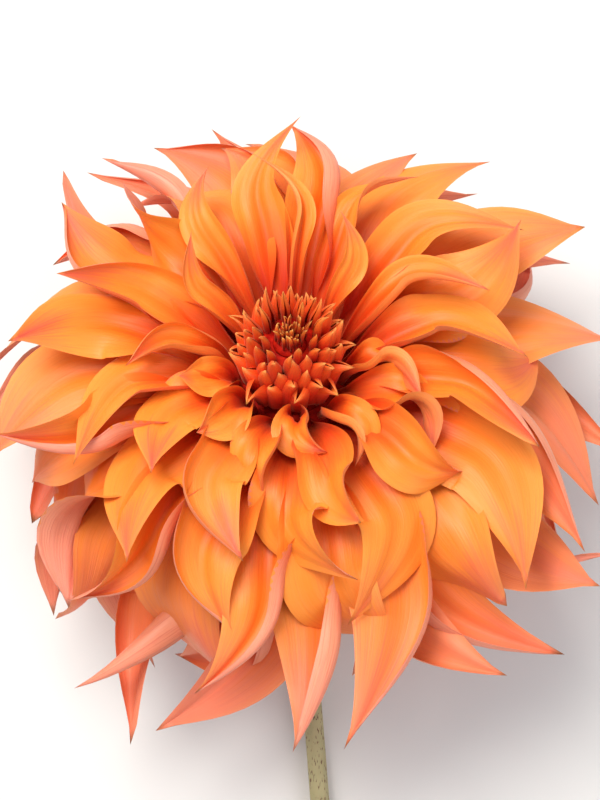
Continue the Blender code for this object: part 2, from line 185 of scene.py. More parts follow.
class Field:
    """A socket in a node tree, with the operators that its maths needs."""

    __add__, __radd__ = both_sides("ADD")
    __sub__, __rsub__ = both_sides("SUBTRACT")
    __mul__, __rmul__ = both_sides("MULTIPLY")
    __truediv__, __rtruediv__ = both_sides("DIVIDE")
    __pow__, __rpow__ = both_sides("POWER")

    def __init__(self, net: "Net", socket: bpy.types.NodeSocket) -> None:
        """Wrap an output socket of a node in net."""
        self.net = net
        self.socket = socket

    @property
    def wide(self) -> bool:
        """Whether the socket carries a vector or a colour."""
        return self.socket.type in {"VECTOR", "RGBA"}

    def pair(self, operation: str, first: "Field | Number", second: "Field | Number") -> "Field":
        """Add one Math or Vector Math node.

        Args:
            operation: the node's operation, by Math's name for it.
            first: left operand.
            second: right operand.

        Returns:
            The node's result; a vector times a number is that vector scaled.
        """
        wide = [isinstance(x, Field) and x.wide for x in (first, second)]
        if not any(wide):
            return self.net.math(operation, first, second)
        values = {0: first, 1: second}
        if operation == "MULTIPLY" and not all(wide):
            vector, factor = (first, second) if wide[0] else (second, first)
            operation, values = "SCALE", {0: vector, "Scale": factor}
        return self.net.vector_math(operation, values)

    def call(self, operation: str, other: "Field | Number | None" = None) -> "Field":
        """Apply a Math function, such as SINE or MAXIMUM, with an optional second value."""
        return self.net.math(operation, self, other)

    def cross(self, other: "Field") -> "Field":
        """Cross product."""
        return self.pair("CROSS_PRODUCT", self, other)

    def unit(self) -> "Field":
        """The vector at length 1."""
        return self.net.vector_math("NORMALIZE", {0: self})

    def parts(self) -> list["Field"]:
        """The vector's three numbers."""
        node = self.net.node("ShaderNodeSeparateXYZ", values={0: self})
        return [Field(self.net, out) for out in node.outputs]

    def clamp(self, low: float, high: float) -> "Field":
        """The number kept between low and high."""
        return self.call("MAXIMUM", low).call("MINIMUM", high)

    def ease(self, low: "Field | Number", high: "Field | Number") -> "Field":
        """Ease from 0 at low to 1 at high."""
        return self.net.read("ShaderNodeMapRange", "Result", {"interpolation_type": "SMOOTHSTEP"},
                             {"Value": self, "From Min": low, "From Max": high})

    def fall(self, low: "Field | Number", high: "Field | Number") -> "Field":
        """Ease from 1 at low to 0 at high."""
        return 1.0 - self.ease(low, high)


class Net:
    """A node tree being built, for a material or for geometry."""

    def __init__(self, tree: bpy.types.NodeTree) -> None:
        """Start on an existing tree."""
        self.tree = tree

    def node(self, kind: str, settings: dict | None = None,
             values: dict | None = None) -> bpy.types.Node:
        """Add any node.

        Args:
            kind: the node's type.
            settings: its properties, set first; "stops" fills a colour ramp.
            values: numbers, colours or fields for its inputs, by name or index.

        Returns:
            The new node.
        """
        node = self.tree.nodes.new(kind)
        for name, value in (settings or {}).items():
            if name == "stops":
                self._fill_ramp(node.color_ramp, value)
            else:
                setattr(node, name, value)
        for key, value in (values or {}).items():
            self.feed(node.inputs[key], value)
        return node

    def read(self, kind: str, output: str | int, settings: dict | None = None,
             values: dict | None = None) -> Field:
        """Add any node, as node() does, and return one of its outputs."""
        return Field(self, self.node(kind, settings, values).outputs[output])

    def feed(self, socket: bpy.types.NodeSocket, value: object) -> None:
        """Give an input its value.

        Args:
            socket: the input.
            value: a field, which is linked, or a plain value, which is set.
        """
        if isinstance(value, Field):
            self.tree.links.new(value.socket, socket)
        else:
            socket.default_value = value

    @staticmethod
    def _fill_ramp(ramp: bpy.types.ColorRamp, stops: Stops) -> None:
        """Give a colour ramp its stops.

        Args:
            ramp: the ramp, whose own stops go.
            stops: pairs of position and colour, in order.
        """
        while len(ramp.elements) > 1:
            ramp.elements.remove(ramp.elements[-1])
        ramp.elements[0].position, ramp.elements[0].color = stops[0]
        for place, colour in stops[1:]:
            ramp.elements.new(place).color = colour

    def math(self, operation: str, first: Field | Number,
             second: Field | Number | None = None) -> Field:
        """Add a Math node and return its result."""
        values = {0: first} if second is None else {0: first, 1: second}
        return self.read("ShaderNodeMath", 0, {"operation": operation}, values)

    def vector_math(self, operation: str, values: dict) -> Field:
        """Add a Vector Math node and return its vector."""
        return self.read("ShaderNodeVectorMath", "Vector", {"operation": operation}, values)


# --- finishes --------------------------------------------------------------------------------
class Surface(Net):
    """A material being built, with its Principled shader."""

    def __init__(self, name: str, constants: dict[str, object]) -> None:
        """Make the material and set the shader's own sockets.

        Args:
            name: the material's name.
            constants: values for the shader's inputs, by name.
        """
        self.material = bpy.data.materials.new(name)
        self.material.use_nodes = True
        super().__init__(self.material.node_tree)
        self.shader = self.tree.nodes["Principled BSDF"]
        for socket, value in constants.items():
            self.shader.inputs[socket].default_value = value

    def attribute(self, name: str) -> Field:
        """A number stored on the mesh."""
        return self.read("ShaderNodeAttribute", "Fac", {"attribute_name": name})

    def place(self) -> Field:
        """Object coordinates."""
        return self.read("ShaderNodeTexCoord", "Object")

    def vector(self, x: Field | Number, y: Field | Number, z: Field | Number) -> Field:
        """A vector from three numbers."""
        return self.read("ShaderNodeCombineXYZ", 0, values={0: x, 1: y, 2: z})

    def noise(self, vector: Field, scale: float, detail: float = 3.0) -> Field:
        """Noise from 0 to 1."""
        return self.read("ShaderNodeTexNoise", "Fac",
                         values={"Vector": vector, "Scale": scale, "Detail": detail})

    def ramp(self, factor: Field, stops: Stops) -> Field:
        """Colour read from a ramp at factor."""
        return self.read("ShaderNodeValToRGB", "Color", {"stops": stops}, {"Fac": factor})

    def mix(self, factor: Field | Number, first: Field | Colour, second: Field | Colour,
            blend: str = "MIX") -> Field:
        """Blend two colours."""
        return self.read("ShaderNodeMix", 2, {"data_type": "RGBA", "blend_type": blend},
                         {0: factor, 6: first, 7: second})

    def finish(self, colour: Field, roughness: Field, height: Field,
               distance: float) -> bpy.types.Material:
        """Feed the shader and return the material.

        Args:
            colour: base colour.
            roughness: roughness.
            height: height of the fine relief, from 0 to 1.
            distance: what a height of 1 means, in metres.

        Returns:
            The finished material.
        """
        bump = self.read("ShaderNodeBump", "Normal", values={
            "Strength": 1.0, "Distance": distance, "Height": height})
        self.feed(self.shader.inputs["Base Color"], colour)
        self.feed(self.shader.inputs["Roughness"], roughness)
        self.feed(self.shader.inputs["Normal"], bump)
        return self.material


@dataclass(frozen=True)
class PetalFinish:
    """Petal tissue: coloured along and across the blade, another colour on its back.

    A share says how much of a colour is laid on. Along a blade, 0 is its foot and 1 its tip.
    Across it, 0 is its rib and 1 its margin. Rows run from the back, 0, to the middle, 1.
    """

    name: str
    face: Stops
    back: Stops
    # rim: golden margins, partly the petal's own lighter edge and partly a painted highlight on
    # the margins; also the gold that a petal's random tone leans to
    rim: Colour
    rim_highlight_share: float = 0.5
    rim_highlight_across: Span = (0.15, 1.0)
    rim_highlight_along: Span = (0.2, 0.6)
    flush: Colour = srgb(226, 84, 30)
    flush_share: float = 0.5
    flush_across: Span = (0.0, 0.55)
    flush_along: Span = (0.25, 0.85)
    fade: Colour = srgb(237, 118, 72)
    fade_share: float = 0.0
    fade_rows: Span = (0.05, 0.6)
    tip: Colour = srgb(236, 128, 98)
    tip_share: float = 0.0
    tip_along: Span = (0.64, 0.94)
    tip_rows: Span = (0.2, 0.8)
    young_share: float = 0.0            # how far young petals' backs take their face's colour
    young_rows: Span = (0.72, 0.95)
    vein: Colour = srgb(206, 62, 22)
    vein_levels: Span = (0.52, 0.70)
    vein_share: float = 0.13
    streak_levels: Span = (0.5, 0.8)
    streak_share: float = 0.10
    back_veins: float = 2.2             # strength of the back's veins beside the face's
    tone_share: float = 0.25
    roughness: float = 0.46
    roughness_spread: float = 0.18
    vein_depth: float = 0.00022
    # patterns: cells across a blade's half, how they stretch, how far they move a colour
    streak_scale: float = 16.0
    vein_scale: float = 48.0
    cloud_scale: float = 1.6
    lane_stretch: float = 0.16
    cloud_stretch: float = 2.0
    petal_step: float = 40.0            # sets one petal's pattern apart from the next one's
    cloud_step: float = 7.0
    cloud_shift: float = 0.22
    streak_shift: float = 0.20
    tone_shift: float = 0.10
    back_shift: float = 0.25
    streak_relief: float = 0.6
    vein_relief: float = 0.4

    def build(self) -> bpy.types.Material:
        """Lay out the material.

        Returns:
            The finished material.
        """
        s = Surface(self.name, {
            "Sheen Weight": 0.15, "Sheen Roughness": 0.4, "Sheen Tint": srgb(255, 214, 170),
            "Specular IOR Level": 0.35, "Subsurface Weight": 0.12,
            "Subsurface Radius": (1.0, 0.35, 0.12), "Subsurface Scale": 0.004})
        u, v = s.attribute("blade_u"), s.attribute("blade_v")
        upper = s.attribute("blade_face").call("GREATER_THAN", 0.0)
        tone, row = s.attribute("blade_tone"), s.attribute("blade_row")
        apart = tone * self.petal_step
        lanes = s.vector(v, u * self.lane_stretch, apart)
        streaks = s.noise(lanes, self.streak_scale, 2.0)
        fine = s.noise(lanes, self.vein_scale, 2.0)
        cloud = s.noise(s.vector(v, u * self.cloud_stretch, apart + self.cloud_step),
                        self.cloud_scale, 2.0)
        away, off = v.call("ABSOLUTE"), tone - 0.5
        shifted = (u + (cloud - 0.5) * self.cloud_shift + (streaks - 0.5) * self.streak_shift
                   + off * self.tone_shift)
        # colour along the blade; the ray petals' stops also hold painted shade at the foot and a
        # painted highlight on the arch
        face = s.ramp(shifted, self.face)
        # painted highlight, partly the petal's own colour: the margins turn gold
        face = s.mix(away.ease(*self.rim_highlight_across) * self.rim_highlight_share * u.ease(*self.rim_highlight_along),
                     face, self.rim)
        face = s.mix(away.fall(*self.flush_across) * u.fall(*self.flush_along)
                     * self.flush_share, face, self.flush)
        face = s.mix(row.fall(*self.fade_rows) * self.fade_share, face, self.fade)
        face = s.mix(row.fall(*self.tip_rows) * shifted.ease(*self.tip_along) * self.tip_share,
                     face, self.tip)
        back = s.ramp(u + (streaks - 0.5) * self.back_shift, self.back)
        back = s.mix(row.ease(*self.young_rows) * self.young_share, back, face)
        colour = s.mix(upper, back, face)
        dark = (fine.ease(*self.vein_levels) * self.vein_share
                + streaks.ease(*self.streak_levels) * self.streak_share)
        dark = dark * (self.back_veins - upper * (self.back_veins - 1.0))
        colour = s.mix(dark, colour, self.vein, "MULTIPLY")
        # random tone: each petal leans by chance towards the rim's gold
        colour = s.mix(off.call("ABSOLUTE") * self.tone_share, colour, self.rim)
        return s.finish(colour, self.roughness + (fine - 0.5) * self.roughness_spread,
                        streaks * self.streak_relief + fine * self.vein_relief,
                        self.vein_depth)


@dataclass(frozen=True)
class GreenFinish:
    """Fleshy green tissue with specks, for the calyx and the stem."""

    name: str
    light: Colour
    dark: Colour
    speck: Colour
    speck_share: float
    stretch: Triple = (1.0, 1.0, 1.0)   # below 1 on an axis draws the fibres out along it
    cloud_scale: float = 45.0
    fibre_scale: float = 900.0
    speck_scale: float = 1500.0
    light_levels: Span = (0.3, 0.7)
    fibre_levels: Span = (0.35, 0.75)
    fibre_share: float = 0.35
    speck_levels: Span = (0.60, 0.68)
    patch_levels: Span = (0.30, 0.55)   # specks stand in patches
    fibre_relief: float = 0.7
    speck_relief: float = 0.3
    roughness: float = 0.42
    roughness_spread: float = 0.2
    relief: float = 0.00012

    def build(self) -> bpy.types.Material:
        """Lay out the material.

        Returns:
            The finished material.
        """
        s = Surface(self.name, {"Specular IOR Level": 0.4, "Subsurface Weight": 0.06,
                                "Subsurface Scale": 0.003})
        place = s.place()
        lanes = s.vector_math("MULTIPLY", {0: place, 1: self.stretch})
        broad = s.noise(place, self.cloud_scale)
        fibre = s.noise(lanes, self.fibre_scale)
        dots = s.noise(lanes, self.speck_scale, 1.0)
        colour = s.mix(broad.ease(*self.light_levels), self.dark, self.light)
        colour = s.mix(fibre.ease(*self.fibre_levels) * self.fibre_share, colour, self.light)
        specks = dots.ease(*self.speck_levels) * broad.ease(*self.patch_levels) * self.speck_share
        colour = s.mix(specks, colour, self.speck)
        return s.finish(colour, self.roughness + fibre * self.roughness_spread,
                        fibre * self.fibre_relief + dots * self.speck_relief, self.relief)


@dataclass(frozen=True)
class CoreFinish:
    """The deep red flesh between the florets' feet."""

    name: str
    dark: Colour = srgb(160, 10, 2)
    light: Colour = srgb(196, 30, 8)
    grain_scale: float = 420.0
    grain_levels: Span = (0.35, 0.7)
    roughness: float = 0.6
    roughness_spread: float = 0.2
    relief: float = 0.0003

    def build(self) -> bpy.types.Material:
        """Lay out the material.

        Returns:
            The finished material.
        """
        s = Surface(self.name, {"Specular IOR Level": 0.12})
        grain = s.noise(s.place(), self.grain_scale)
        colour = s.mix(grain.ease(*self.grain_levels), self.dark, self.light)
        return s.finish(colour, self.roughness + grain * self.roughness_spread, grain,
                        self.relief)


class Petals(Enum):
    """The petal finishes of the bloom."""

    RAY = PetalFinish(
        "petal_golden_orange",
        # face: the petal's own red foot turning gold, with painted shade deepening the foot where
        # it comes out from under the petal above, and a painted highlight on the arch's top at
        # mid-length
        face=((0.02, srgb(176, 16, 6)), (0.26, srgb(214, 44, 14)), (0.42, srgb(238, 90, 18)),
              (0.60, srgb(247, 123, 26)), (0.82, srgb(248, 136, 44)),
              (0.92, srgb(238, 110, 58)), (1.0, srgb(230, 98, 74))),
        back=((0.05, srgb(222, 74, 36)), (0.45, srgb(236, 122, 82)),
              (0.8, srgb(240, 150, 120)), (1.0, srgb(236, 138, 116))),
        rim=srgb(252, 158, 60), fade_share=0.72, tip_share=0.85, young_share=0.8)
    QUILL = PetalFinish(
        "petal_red_orange",
        face=((0.2, srgb(188, 16, 6)), (0.5, srgb(222, 50, 14)), (0.8, srgb(248, 116, 36)),
              (1.0, srgb(255, 180, 84))),
        back=((0.25, srgb(188, 14, 5)), (0.55, srgb(216, 38, 12)), (0.84, srgb(240, 88, 28)),
              (1.0, srgb(255, 166, 82))),
        rim=srgb(248, 128, 46), rim_highlight_share=0.30, flush=srgb(190, 28, 12), young_share=0.9)
    BUD = PetalFinish(
        "bud_golden_tipped",
        face=((0.2, srgb(176, 18, 8)), (0.7, srgb(224, 76, 28)), (1.0, srgb(252, 164, 76))),
        back=((0.25, srgb(150, 10, 4)), (0.55, srgb(214, 46, 14)), (0.8, srgb(250, 120, 36)),
              (1.0, srgb(255, 186, 88))),
        rim=srgb(246, 140, 50), rim_highlight_share=0.2, flush=srgb(160, 30, 20))


# --- floret forms ----------------------------------------------------------------------------
@dataclass
class Floret:
    """One floret: a curled, twisted blade on an arched centreline in the head's frame."""

    place: float
    azimuth: float
    length: float
    width: float
    foot_radius: float
    foot_height: float
    start_angle: float
    end_angle: float
    rise: float
    sweep: float
    twist: float
    hook_side: float
    hook_over: float
    curl_foot: float
    curl_middle: float
    curl_left: float
    curl_right: float
    widest: float
    shoulder: float
    taper: float
    base_share: float
    crease: float = 0.0
    wave: Triple = (0.0, 1.0, 0.0)

    def direction(self, angle: float) -> Vector:
        """Unit vector in the floret's upright plane, angle measured from the axis."""
        out = Vector((math.cos(self.azimuth), math.sin(self.azimuth), 0.0))
        return out * math.sin(angle) + Vector((0.0, 0.0, math.cos(angle)))

    def side(self) -> Vector:
        """Unit vector round the axis."""
        return Vector((-math.sin(self.azimuth), math.cos(self.azimuth), 0.0))

    def spine(self) -> dict[str, Vector]:
        """Lay out the centreline.

        Returns:
            Its four control points and the tip's hook, in the head's frame.
        """
        foot = self.direction(math.pi / 2) * self.foot_radius
        foot += Vector((0.0, 0.0, self.foot_height))
        start = self.direction(self.start_angle)
        end = (self.direction(self.end_angle) + self.side() * self.sweep).normalized()
        corner = foot + start * (self.rise * self.length)
        tip = corner + end * ((1.0 - self.rise) * self.length)
        over = end.cross(self.side()).normalized()
        hook = (self.side() * self.hook_side - over * self.hook_over) * self.length
        return {"foot": foot, "inner": foot.lerp(corner, 2 / 3), "outer": tip.lerp(corner, 2 / 3),
                "tip": tip, "hook": hook}

    def centre(self, u: float) -> tuple[Vector, Vector]:
        """Find a place on the centreline.

        Args:
            u: place along the blade, from 0 to 1.

        Returns:
            The point and the tangent there, in the head's frame.
        """
        k = self.spine()
        m = 1.0 - u
        q = max((u - HOOK_FROM) / (1.0 - HOOK_FROM), 0.0)
        point = (k["foot"] * m**3 + k["inner"] * (3 * m * m * u) + k["outer"] * (3 * m * u * u)
                 + k["tip"] * u**3 + k["hook"] * q**HOOK_POWER)
        tangent = ((k["inner"] - k["foot"]) * (3 * m * m) + (k["outer"] - k["inner"]) * (6 * m * u)
                   + (k["tip"] - k["outer"]) * (3 * u * u)
                   + k["hook"] * (HOOK_POWER * q**(HOOK_POWER - 1.0) / (1.0 - HOOK_FROM)))
        return point, tangent.normalized()

    def half_width(self, u: float) -> float:
        """Find the blade's width.

        Args:
            u: place along the blade, from 0 to 1.

        Returns:
            Half the width that the blade has there when it is laid flat.
        """
        grow = self.base_share + (1.0 - self.base_share) * smooth(WIDENS_FROM, self.widest, u)
        x = min(max((u - self.widest) / (1.0 - self.widest), 0.0), 1.0)
        return self.width / 2 * grow * (1.0 - x**self.shoulder) ** self.taper

    def curl(self, u: float, side: int) -> float:
        """Find how far the blade curls.

        Args:
            u: place along the blade, from 0 to 1.
            side: -1 for the left half, 1 for the right one.

        Returns:
            The angle that this half turns through between its rib and its margin.
        """
        tip_curl = self.curl_left if side < 0 else self.curl_right
        foot = (self.curl_foot - self.curl_middle) * (1.0 - smooth(*FOOT_UNROLLS, u))
        return foot + self.curl_middle + (tip_curl - self.curl_middle) * smooth(*CURL_SETTLES, u)

    def rim(self, u: float) -> list[Vector]:
        """Find the blade's margins.

        Args:
            u: place along the blade, from 0 to 1.

        Returns:
            The left and the right margin's point there, in the head's frame.
        """
        point, tangent = self.centre(u)
        upper = tangent.cross(self.side()).normalized()
        cross = upper.cross(tangent)
        turn = self.twist * smooth(*TWISTS, u)
        cross, upper = (cross * math.cos(turn) + upper * math.sin(turn),
                        upper * math.cos(turn) - cross * math.sin(turn))
        points = []
        for side in (-1, 1):
            across = above = 0.0
            angle = self.crease * smooth(*CREASE_GROWS, u)
            total = self.curl(u, side)
            for share, bend in ((CURL_ZONE, CURL_SHARE), (1 - CURL_ZONE, 1 - CURL_SHARE)):
                half_turn = total * bend / 2
                chord = self.half_width(u) * share
                if half_turn:
                    chord *= math.sin(half_turn) / half_turn
                across += chord * math.cos(angle + half_turn)
                above += chord * math.sin(angle + half_turn)
                angle += 2 * half_turn
            points.append(point + cross * (side * across) + upper * above)
        return points

    def lowest(self) -> float:
        """Lowest height that the floret's rib and margins reach above the table."""
        return min((HEAD_MATRIX @ p).z for k in RIB_CHECKS
                   for p in (*self.rim(k / 20), self.centre(k / 20)[0]))

    def turned_away(self, azimuth: float) -> float:
        """Angle between the floret's side of the head and an azimuth."""
        return abs((self.azimuth - azimuth + math.pi) % (2 * math.pi) - math.pi)

    def facts(self) -> dict[str, Vector]:
        """Gather what the blade grower has to know about the floret.

        Returns:
            Vectors in the part's frame, by the names that the grower reads.
        """
        spine = self.spine()
        turn = HEAD_MATRIX.to_3x3()
        facts = {name: HEAD_MATRIX @ spine[name] for name in ("foot", "inner", "outer", "tip")}
        facts["hook"] = turn @ spine["hook"]
        facts["side"] = turn @ self.side()
        facts["outline"] = Vector((self.width / 2, self.base_share, self.widest))
        facts["taper"] = Vector((self.shoulder, self.taper, self.twist))
        facts["curls"] = Vector((self.curl_foot, self.curl_middle, self.crease))
        facts["ends"] = Vector((self.curl_left, self.curl_right, 0.0))
        facts["wave"] = Vector(self.wave)
        return facts


def let_stray(florets: list[Floret]) -> None:
    """Give the florets nearest to the strays' places the strays' own forms.

    Args:
        florets: the forms, which are changed.
    """
    for degrees, row, length, width, end, sweep, twist, hook_side, hook_over in STRAYS:
        azimuth = math.radians(degrees)
        stray = min(florets, key=lambda f: (f.turned_away(azimuth)
                                           + STRAY_ROW_WEIGHT * abs(f.place - row)))
        stray.azimuth, stray.length, stray.width = azimuth, length, width
        stray.end_angle, stray.sweep, stray.twist = math.radians(end), sweep, twist
        stray.hook_side, stray.hook_over = hook_side, hook_over


def bed_on_table(florets: list[Floret]) -> None:
    """Lift sagging florets clear of the table, and lower one on each side to touch it.

    Args:
        florets: the forms, which are changed.
    """
    for floret in florets:
        while floret.lowest() < TABLE_CLEAR and floret.end_angle > MOST_LIFTED:
            floret.end_angle -= LIFT_STEP
    for side in SUPPORT_SIDES:
        prop = min(florets, key=lambda f: f.turned_away(side) + SUPPORT_ROW_WEIGHT * f.place)
        while prop.lowest() > 0.0 and prop.end_angle < MOST_LOWERED:
            prop.end_angle += LOWER_STEP


# --- the blade grower ------------------------------------------------------------------------
class BladeGrower(Net):
    """Geometry Nodes tree that grows a closed blade on each carrier vertex."""

    def __init__(self, name: str) -> None:
        """Make the tree, its named inputs and its nodes.

        Args:
            name: the tree's name.
        """
        super().__init__(bpy.data.node_groups.new(name, "GeometryNodeTree"))
        face = self.tree.interface
        self.sockets: dict[str, str] = {}
        face.new_socket("Geometry", in_out="OUTPUT", socket_type="NodeSocketGeometry")
        for label, kind in (("Geometry", "Geometry"), ("Columns", "Int"), ("Rings", "Int"),
                            ("Thickness", "Float"), ("Ridges", "Float"), ("Gentle zone", "Float"),
                            ("Gentle share", "Float"), ("Root depth", "Float"), ("Seed", "Int"),
                            ("Material", "Material")):
            item = face.new_socket(label, in_out="INPUT", socket_type="NodeSocket" + kind)
            self.sockets[label] = item.identifier
        self.given = self.node("NodeGroupInput")
        self._build()

    def wanted(self, label: str) -> Field:
        """One of the tree's named inputs."""
        return Field(self, self.given.outputs[label])

    def fact(self, name: str, kind: str = "FLOAT_VECTOR") -> Field:
        """A stored attribute, as a vector or a number."""
        return self.read("GeometryNodeInputNamedAttribute", "Attribute", {"data_type": kind},
                         {"Name": name})

    def step(self, kind: str, geometry: Field, settings: dict | None = None,
             values: dict | None = None) -> Field:
        """Pass a geometry through one node and return what comes out."""
        return self.read(kind, "Geometry", settings, {"Geometry": geometry, **(values or {})})

    def store(self, geometry: Field, name: str, value: Field, domain: str = "POINT") -> Field:
        """Store a number on every point, face or instance of a geometry."""
        return self.step("GeometryNodeStoreNamedAttribute", geometry,
                         {"data_type": "FLOAT", "domain": domain}, {"Name": name, "Value": value})

    def _template(self) -> Field:
        """Make the skin that every blade is shaped from.

        Returns:
            A closed skin whose points know their place along, across and around a blade.
        """
        skin = self.read("GeometryNodeMeshUVSphere", "Mesh", values={
            "Segments": self.wanted("Columns"), "Rings": self.wanted("Rings"), "Radius": 1.0})
        x, y, z = self.read("GeometryNodeInputPosition", 0).parts()
        along_blade = 1.0 - z.clamp(-1.0, 1.0).call("ARCCOSINE") / math.pi
        around = (y.call("ARCTAN2", x) / (2 * math.pi) + SEAM_NUDGE).call("FRACT")
        across = 1.0 - (around * 4.0 - 2.0).call("ABSOLUTE")
        half = ((around * (2 * math.pi)).call("SINE") * SKIN_STEEPNESS).clamp(-1.0, 1.0)
        for name, value in (("blade_u", along_blade), ("blade_v", across), ("blade_half", half)):
            skin = self.store(skin, name, value)
        # across runs against x, which turns the skin inside out, so its faces are turned back
        skin = self.read("GeometryNodeFlipFaces", "Mesh", values={"Mesh": skin})
        return self.store(skin, "blade_face", y.call("SIGN"), "FACE")

    def _centreline(self, u: Field) -> tuple[Field, Field]:
        """Lay out the centreline, as Floret.centre() does.

        Args:
            u: place along the blade.

        Returns:
            The point and the tangent there.
        """
        foot, inner, outer, tip, hook = (self.fact(name) for name in
                                         ("foot", "inner", "outer", "tip", "hook"))
        m = 1.0 - u
        q = ((u - HOOK_FROM) / (1.0 - HOOK_FROM)).call("MAXIMUM", 0.0)
        point = (foot * (m * m * m) + inner * (3.0 * m * m * u) + outer * (3.0 * m * u * u)
                 + tip * (u * u * u) + hook * q**HOOK_POWER)
        tangent = ((inner - foot) * (3.0 * m * m) + (outer - inner) * (6.0 * m * u)
                   + (tip - outer) * (3.0 * u * u)
                   + hook * (q**(HOOK_POWER - 1.0) * (HOOK_POWER / (1.0 - HOOK_FROM))))
        return point, tangent.unit()

    def _arc(self, length: Field, start: Field, turn: Field) -> tuple[Field, Field]:
        """Follow an arc.

        Args:
            length: the arc's length.
            start: its angle at the start.
            turn: how far it turns.

        Returns:
            The steps across and above that it makes.
        """
        half = turn * 0.5
        safe = half.call("ABSOLUTE").call("MAXIMUM", LEAST_TURN)
        chord = length * safe.call("SINE") / safe
        angle = half + start
        return chord * angle.call("COSINE"), chord * angle.call("SINE")

    def _build(self) -> None:
        """Lay out the whole tree."""
        copies = self.read("GeometryNodeInstanceOnPoints", 0, values={
            "Points": self.wanted("Geometry"), "Instance": self._template()})
        tone = self.read("FunctionNodeRandomValue", 1, {"data_type": "FLOAT"},
                         {"Seed": self.wanted("Seed")})
        blades = self.step("GeometryNodeRealizeInstances",
                           self.store(copies, "blade_tone", tone, "INSTANCE"))

        u, v, face = (self.fact(name, "FLOAT") for name in ("blade_u", "blade_v", "blade_half"))
        half_flat, base_share, widest = self.fact("outline").parts()
        shoulder, taper, twist = self.fact("taper").parts()
        curl_foot, curl_middle, crease = self.fact("curls").parts()
        curl_left, curl_right, _ = self.fact("ends").parts()
        swell, count, phase = self.fact("wave").parts()

        point, tangent = self._centreline(u)
        upper = tangent.cross(self.fact("side")).unit()
        cross = upper.cross(tangent)
        turn = twist * u.ease(*TWISTS)
        sine, cosine = turn.call("SINE"), turn.call("COSINE")
        cross, upper = cross * cosine + upper * sine, upper * cosine - cross * sine

        grow = base_share + (1.0 - base_share) * u.ease(WIDENS_FROM, widest)
        x = ((u - widest) / (1.0 - widest)).clamp(0.0, 1.0)
        half = half_flat * grow * (1.0 - x**shoulder).call("MAXIMUM", 0.0) ** taper
        half = half * u.ease(*FOOT_CLOSES)

        right = v.call("GREATER_THAN", 0.0)
        end_curl = curl_left + (curl_right - curl_left) * right
        curl = (curl_foot - curl_middle) * u.fall(*FOOT_UNROLLS) + curl_middle
        curl = curl + (end_curl - curl_middle) * u.ease(*CURL_SETTLES)

        zone, share = self.wanted("Gentle zone"), self.wanted("Gentle share")
        away = v.call("ABSOLUTE")
        first = away.call("MINIMUM", zone)
        second = (away - zone).call("MAXIMUM", 0.0)
        turn_one = curl * share * first / zone
        turn_two = curl * (1.0 - share) * second / (1.0 - zone)
        fold = crease * u.ease(*CREASE_GROWS)
        across_one, above_one = self._arc(half * first, fold, turn_one)
        across_two, above_two = self._arc(half * second, fold + turn_one, turn_two)
        lean = fold + turn_one + turn_two

        ripple = (u * count * (2 * math.pi) + phase * (1.0 + right)).call("SINE")
        lift = swell * v * v * ripple * u.ease(*WAVES_GROW)
        ridges = (v * RIDGE_TURNS).call("COSINE") * (1.0 - v * v) * self.wanted("Ridges")
        lift = lift - ridges * u.ease(*RIDGES_GROW) * u.fall(*RIDGES_FADE)
        slim = (half / SLIM_BELOW).call("MINIMUM", 1.0)
        skin = self.wanted("Thickness") * 0.5 * face * slim * (1.0 - away**3 * MARGIN_THINS)
        offset = lift * slim + skin
        across = across_one + across_two - lean.call("SINE") * offset
        above = above_one + above_two + lean.call("COSINE") * offset
        place = point + cross * (across * v.call("SIGN")) + upper * above
        place = place - tangent * (self.wanted("Root depth") * u.fall(*ROOT_RISES))

        blades = self.step("GeometryNodeSetPosition", blades, values={"Position": place})
        blades = self.step("GeometryNodeSetShadeSmooth", blades)
        blades = self.step("GeometryNodeSetShadeSmooth", blades, {"domain": "EDGE"}, {
            "Selection": away.call("GREATER_THAN", MARGIN_FROM), "Shade Smooth": False})
        blades = self.step("GeometryNodeRealizeInstances", blades)
        blades = self.step("GeometryNodeSetMaterial", blades,
                           values={"Material": self.wanted("Material")})
        self.node("NodeGroupOutput", values={0: blades})

    def grow(self, name: str, florets: list[Floret],
             sizes: dict[str, object]) -> bpy.types.Object:
        """Grow one mesh that holds a blade for each floret.

        Args:
            name: name of the new object.
            florets: the forms, in the head's frame.
            sizes: values for the tree's named inputs.

        Returns:
            An object at the origin with a plain mesh.
        """
        facts = [floret.facts() for floret in florets]
        mesh = bpy.data.meshes.new(name + "_carrier")
        mesh.from_pydata([tuple(known["foot"]) for known in facts], [], [])
        for label in facts[0]:
            layer = mesh.attributes.new(label, "FLOAT_VECTOR", "POINT")
            layer.data.foreach_set("vector", [c for known in facts for c in known[label]])
        layer = mesh.attributes.new("blade_row", "FLOAT", "POINT")
        layer.data.foreach_set("value", [floret.place for floret in florets])

        carrier = place_piece(name + "_carrier", mesh)
        modifier = carrier.modifiers.new("grow", "NODES")
        modifier.node_group = self.tree
        for label, value in sizes.items():
            modifier[self.sockets[label]] = value
        bpy.context.view_layer.update()
        graph = bpy.context.evaluated_depsgraph_get()
        grown = bpy.data.meshes.new_from_object(carrier.evaluated_get(graph))
        carrier.modifiers.remove(modifier)
        bpy.data.objects.remove(carrier)
        for label in (*facts[0], "blade_half"):
            if label in grown.attributes:
                grown.attributes.remove(grown.attributes[label])
        grown.name = name
        return place_piece(name, grown)


# --- turned and swept surfaces, and handing over ---------------------------------------------
def add_ring(bm: bmesh.types.BMesh, middle: Vector, across: Vector, up: Vector,
             radii: list[float]) -> list[bmesh.types.BMVert]:
    """Add a ring of vertices.

    Args:
        bm: the mesh being built.
        middle: the ring's middle.
        across: unit vector towards its first vertex.
        up: unit vector towards the vertex a quarter turn on.
        radii: the distance of each vertex from the middle.

    Returns:
        The vertices, in order.
    """
    angles = [2 * math.pi * j / len(radii) for j in range(len(radii))]
    return [bm.verts.new(middle + across * (r * math.cos(a)) + up * (r * math.sin(a)))
            for r, a in zip(radii, angles)]


